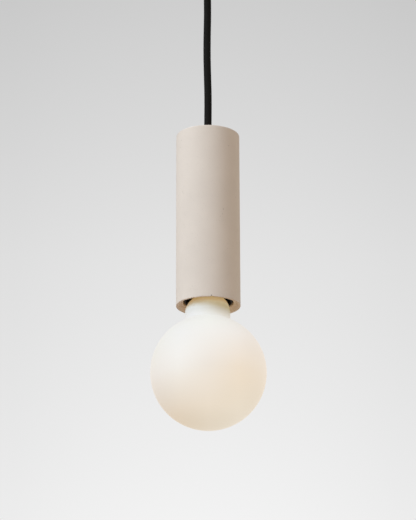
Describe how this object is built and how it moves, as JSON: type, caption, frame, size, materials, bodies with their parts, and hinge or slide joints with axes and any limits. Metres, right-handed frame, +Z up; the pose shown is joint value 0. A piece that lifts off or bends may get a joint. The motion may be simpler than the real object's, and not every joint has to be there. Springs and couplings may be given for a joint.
{
  "type": "pendant ceiling light",
  "caption": "Cast stone tube pendant with an opal globe bulb, hung on a black textile cord from a round black ceiling canopy.",
  "frame": {"origin": "centre of the bracket's face against the ceiling, midway between its two screw slots", "axes": "+Z up into the ceiling, the lamp hangs along -Z; +X along the bracket's slots, towards a side screw; +Y towards the terminal block"},
  "size_m": [0.1052, 0.1, 0.4433],
  "materials": {
    "cast_stone": "matt, fine sandy grain",
    "black_textile": "braided cotton sleeve",
    "black_painted_steel": "fine matt powder coat",
    "zinc_steel": "zinc plated",
    "brass": "turned and pressed brass",
    "black_phenolic": "moulded, semi gloss",
    "black_nylon": "moulded, matt",
    "white_nylon": "moulded, matt",
    "porcelain": "unglazed",
    "black_rubber": "matt",
    "brown_insulation": "smooth",
    "blue_insulation": "smooth",
    "earth_insulation": "smooth, green with a yellow stripe",
    "opal_glass": "satin opal",
    "clear_glass": "clear",
    "black_glass": "glossy",
    "nickel_cap": "nickel plated",
    "phosphor": "coated filament",
    "circuit_board": "coated board with parts"
  },
  "bodies": {
    "ceiling_mount": {"ceiling_bracket": "zinc_steel", "canopy": "black_painted_steel", "canopy_screws": "black_painted_steel", "terminal_block": "white_nylon", "terminal_inserts": "brass", "terminal_screws": "zinc_steel", "terminal_block_screws": "zinc_steel", "earth_screw": "brass", "earth_washer": "zinc_steel", "earth_lead": "earth_insulation", "upper_live_lead": "brown_insulation", "upper_neutral_lead": "blue_insulation", "cord_grip": "black_nylon", "cord_grip_nut": "zinc_steel", "cord_grip_screw": "white_nylon", "cord_end": "black_textile"},
    "bending_cord": {"cord_bend": "black_textile"},
    "hanging_lamp": {"cord": "black_textile", "top_bush": "black_nylon", "stone_tube": "cast_stone", "rubber_washer": "black_rubber", "steel_washer": "zinc_steel", "stem_nut": "zinc_steel", "hollow_stem": "zinc_steel", "cord_stop": "white_nylon", "cord_stop_screw": "zinc_steel", "holder_lock_nut": "zinc_steel", "holder_lock_screw": "zinc_steel", "lampholder_cap": "black_phenolic", "lampholder_skirt": "black_phenolic", "holder_insulator": "porcelain", "screw_shell": "brass", "shell_rivets": "brass", "centre_contact": "brass", "holder_terminals": "brass", "holder_terminal_screws": "zinc_steel", "lower_live_lead": "brown_insulation", "lower_neutral_lead": "blue_insulation"},
    "bulb": {"bulb_glass": "opal_glass", "bulb_cap": "nickel_cap", "bulb_cap_insulator": "black_glass", "bulb_tip": "brass", "bulb_stem": "clear_glass", "light_filaments": "phosphor", "filament_wires": "zinc_steel", "driver_board": "circuit_board"}
  },
  "joints": [
    {"name": "swing_sideways", "type": "hinge", "parent": "ceiling_mount", "child": "bending_cord", "pos_m": [0, 0, -0.041], "axis": [0, 1, 0], "range_deg": [-25, 25]},
    {"name": "swing_fore_and_aft", "type": "hinge", "parent": "bending_cord", "child": "hanging_lamp", "pos_m": [0, 0, -0.041], "axis": [1, 0, 0], "range_deg": [-25, 25]},
    {"name": "bulb_removal", "type": "slide", "parent": "hanging_lamp", "child": "bulb", "axis": [0, 0, -1], "range_m": [0, 0.045]}
  ]
}
